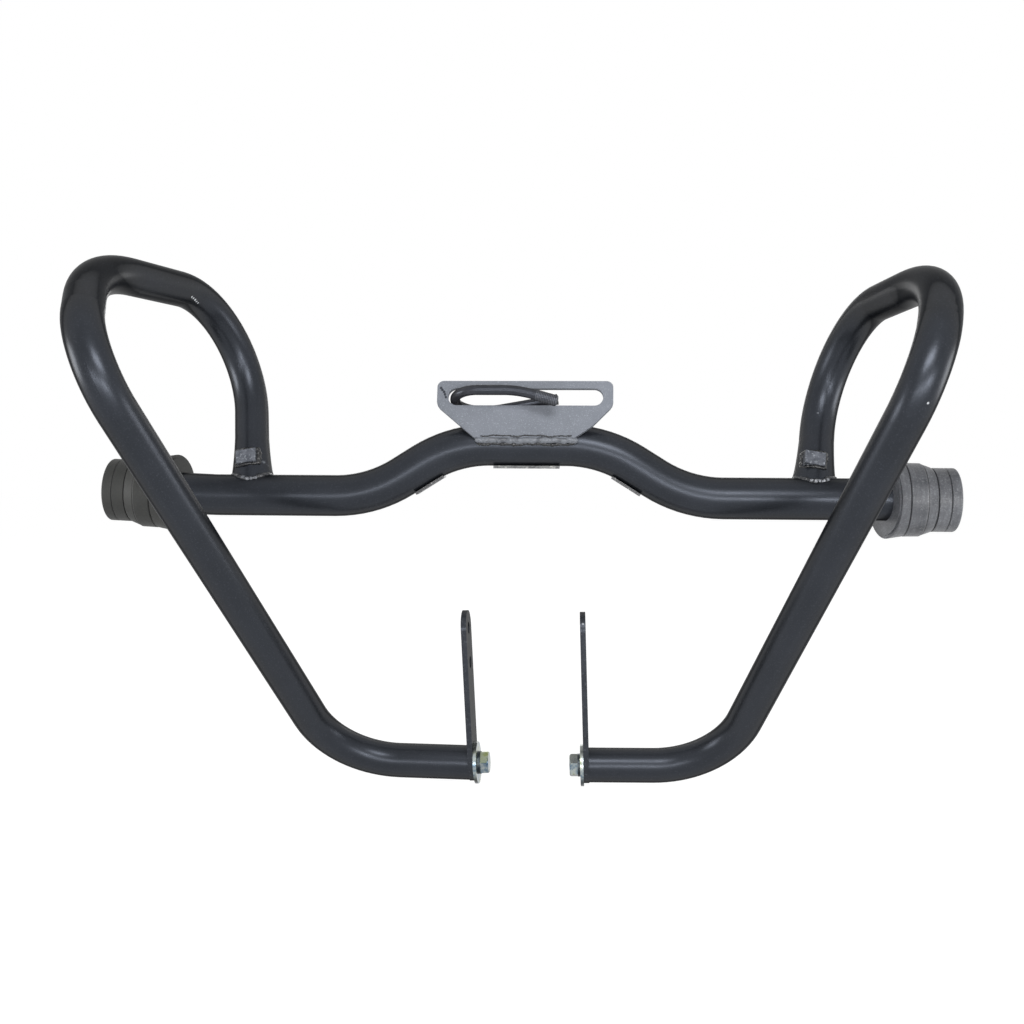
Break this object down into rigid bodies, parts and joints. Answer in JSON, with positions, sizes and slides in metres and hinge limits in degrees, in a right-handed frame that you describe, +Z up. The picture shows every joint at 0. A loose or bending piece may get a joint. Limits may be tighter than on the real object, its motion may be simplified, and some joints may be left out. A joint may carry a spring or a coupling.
{
  "type": "crash bars",
  "caption": "Arched cross tube with rubber rings at its ends, a side loop of bent tube welded near each end, a slotted clamp plate in the middle and a flat bracket on each lower arm.",
  "frame": {"origin": "middle of the slot in the clamp plate, at half its thickness", "axes": "+X to the right along the cross tube, +Y away from the viewer of the picture, from the front of the plate to its back, +Z up, from the brackets to the loops"},
  "size_m": [0.7721, 0.3125, 0.4733],
  "materials": {
    "powder_coated_tube": "satin black powder coat",
    "weld_bead": "rippled weld under black coat",
    "textured_plate": "matt grey textured coat",
    "u_bolt_steel": "black rod with grey thread",
    "bare_pad_steel": "bare ground edge",
    "buffer_rubber": "matt moulded rubber",
    "end_cap_plastic": "matt black",
    "insert_steel": "turned steel",
    "bracket_steel": "worn black coat on rough steel",
    "zinc_washer": "zinc plate",
    "zinc_bolt": "zinc plate"
  },
  "bodies": {
    "root": {"cross_tube": "powder_coated_tube", "left_loop_tube": "powder_coated_tube", "right_loop_tube": "powder_coated_tube", "left_step_block": "powder_coated_tube", "right_step_block": "powder_coated_tube", "left_loop_weld": "weld_bead", "right_loop_weld": "weld_bead", "clamp_plate_weld": "weld_bead", "clamp_plate": "textured_plate", "u_bolt": "u_bolt_steel", "left_arch_pad": "bare_pad_steel", "middle_arch_pad": "bare_pad_steel", "right_arch_pad": "bare_pad_steel", "left_buffer_ring_a": "buffer_rubber", "left_buffer_ring_b": "buffer_rubber", "left_buffer_ring_c": "buffer_rubber", "left_buffer_ring_d": "buffer_rubber", "left_buffer_ring_e": "buffer_rubber", "right_buffer_ring_a": "buffer_rubber", "right_buffer_ring_b": "buffer_rubber", "right_buffer_ring_c": "buffer_rubber", "right_buffer_ring_d": "buffer_rubber", "right_buffer_ring_e": "buffer_rubber", "left_end_cap": "end_cap_plastic", "right_end_cap": "end_cap_plastic", "left_threaded_insert": "insert_steel", "right_threaded_insert": "insert_steel", "left_bracket": "bracket_steel", "right_bracket": "bracket_steel", "left_flat_washer": "zinc_washer", "right_flat_washer": "zinc_washer", "left_spring_washer": "zinc_washer", "right_spring_washer": "zinc_washer", "left_bolt": "zinc_bolt", "right_bolt": "zinc_bolt"}
  },
  "joints": []
}
